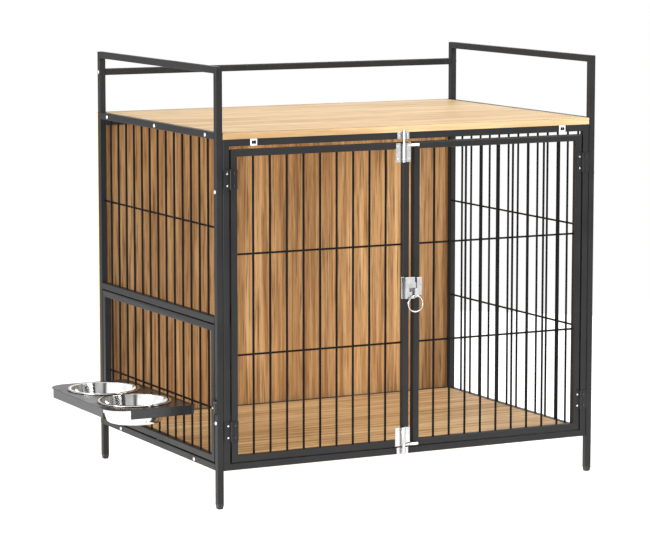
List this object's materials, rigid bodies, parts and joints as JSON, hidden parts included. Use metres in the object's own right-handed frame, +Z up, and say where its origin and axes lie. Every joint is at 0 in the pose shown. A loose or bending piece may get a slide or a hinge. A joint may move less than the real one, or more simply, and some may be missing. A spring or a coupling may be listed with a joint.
{
  "type": "dog crate end table",
  "caption": "Dog crate that doubles as an end table: square-tube frame, wooden top with guard rails, barred front doors with bolts and a ring latch, and a turning feeder panel.",
  "frame": {"origin": "middle of the whole object's footprint, on the floor, with the feeder's tray turned outwards", "axes": "+X to the right as one faces the doors, +Y from the doors to the back, +Z up"},
  "size_m": [1.148, 0.686, 0.96],
  "materials": {
    "frame": "satin powder coat, dark grey",
    "grille": "satin powder coat, near black",
    "tray": "smooth powder coat, slightly glossy",
    "bright_plate": "bright nickel plate",
    "zinc": "bright zinc plate",
    "bowl_steel": "polished stainless steel",
    "table_wood": "light oak grain, satin",
    "panel_wood": "brown plank grain, matt",
    "floor_wood": "oak grain, satin",
    "black_plastic": "moulded, matt",
    "clip": "light, smooth"
  },
  "bodies": {
    "crate": {"post_front_left": "frame", "post_front_right": "frame", "post_rear_left": "frame", "post_rear_right": "frame", "left_guard_rail": "frame", "right_guard_rail": "frame", "back_guard_rail": "frame", "left_table_rail": "frame", "right_table_rail": "frame", "left_lower_rail": "frame", "right_lower_rail": "frame", "left_middle_rail": "frame", "rear_table_rail": "frame", "rear_lower_rail": "frame", "front_frame": "frame", "feet": "black_plastic", "top_board": "table_wood", "floor_board": "floor_wood", "back_panel": "panel_wood", "left_upper_grille": "grille", "right_grille": "grille", "side_bolts": "zinc", "back_panel_screws": "zinc", "frame_hinge_leaves": "frame", "hinge_pins": "frame", "feeder_pivot_pins": "frame", "top_bolt_keeper": "bright_plate", "bottom_bolt_keeper": "bright_plate", "rail_clips": "clip", "button_screw": "zinc"},
    "left_door": {"left_door_frame": "frame", "left_door_grille": "grille", "left_door_hinge_leaves": "frame", "top_bolt_housing": "bright_plate", "bottom_bolt_housing": "bright_plate", "latch_housing": "bright_plate"},
    "right_door": {"right_door_frame": "frame", "right_door_grille": "grille", "right_door_hinge_leaves": "frame", "latch_keeper": "bright_plate"},
    "top_bolt": {"top_bolt": "bright_plate"},
    "bottom_bolt": {"bottom_bolt": "bright_plate"},
    "latch_tongue": {"latch_tongue": "bright_plate"},
    "latch_ring": {"latch_ring": "bright_plate"},
    "feeder_panel": {"feeder_panel_frame": "frame", "feeder_panel_grille": "grille", "feeder_tray": "tray"},
    "bowl_front": {"bowl_front": "bowl_steel"},
    "bowl_rear": {"bowl_rear": "bowl_steel"},
    "turn_button": {"feeder_turn_button": "black_plastic"}
  },
  "joints": [
    {"name": "left_door_hinge", "type": "hinge", "parent": "crate", "child": "left_door", "pos_m": [-0.34647, -0.328, 0.444], "axis": [0, 0, -1], "range_deg": [0, 175]},
    {"name": "right_door_hinge", "type": "hinge", "parent": "crate", "child": "right_door", "pos_m": [0.53853, -0.328, 0.444], "axis": [0, 0, 1], "range_deg": [0, 175]},
    {"name": "top_bolt_slide", "type": "slide", "parent": "left_door", "child": "top_bolt", "axis": [0, 0, -1], "range_m": [0, 0.025]},
    {"name": "bottom_bolt_slide", "type": "slide", "parent": "left_door", "child": "bottom_bolt", "axis": [0, 0, 1], "range_m": [0, 0.025]},
    {"name": "latch_tongue_slide", "type": "slide", "parent": "left_door", "child": "latch_tongue", "axis": [-1, 0, 0], "range_m": [0, 0.009], "stiffness_N_per_m": 300, "springref_m": -0.004},
    {"name": "latch_ring_swing", "type": "hinge", "parent": "latch_tongue", "child": "latch_ring", "pos_m": [0.09903, -0.3395, 0.441], "axis": [-1, 0, 0], "range_deg": [0, 100]},
    {"name": "feeder_panel_turn", "type": "hinge", "parent": "crate", "child": "feeder_panel", "pos_m": [-0.37147, 0.003, 0.252], "axis": [0, 0, 1], "range_deg": [0, 180]},
    {"name": "bowl_front_lift", "type": "slide", "parent": "feeder_panel", "child": "bowl_front", "axis": [0, 0, 1], "range_m": [0, 0.07]},
    {"name": "bowl_rear_lift", "type": "slide", "parent": "feeder_panel", "child": "bowl_rear", "axis": [0, 0, 1], "range_m": [0, 0.07]},
    {"name": "turn_button_turn", "type": "hinge", "parent": "crate", "child": "turn_button", "pos_m": [-0.37927, -0.3175, 0.2245], "axis": [-1, 0, 0], "range_deg": [0, 90]}
  ]
}
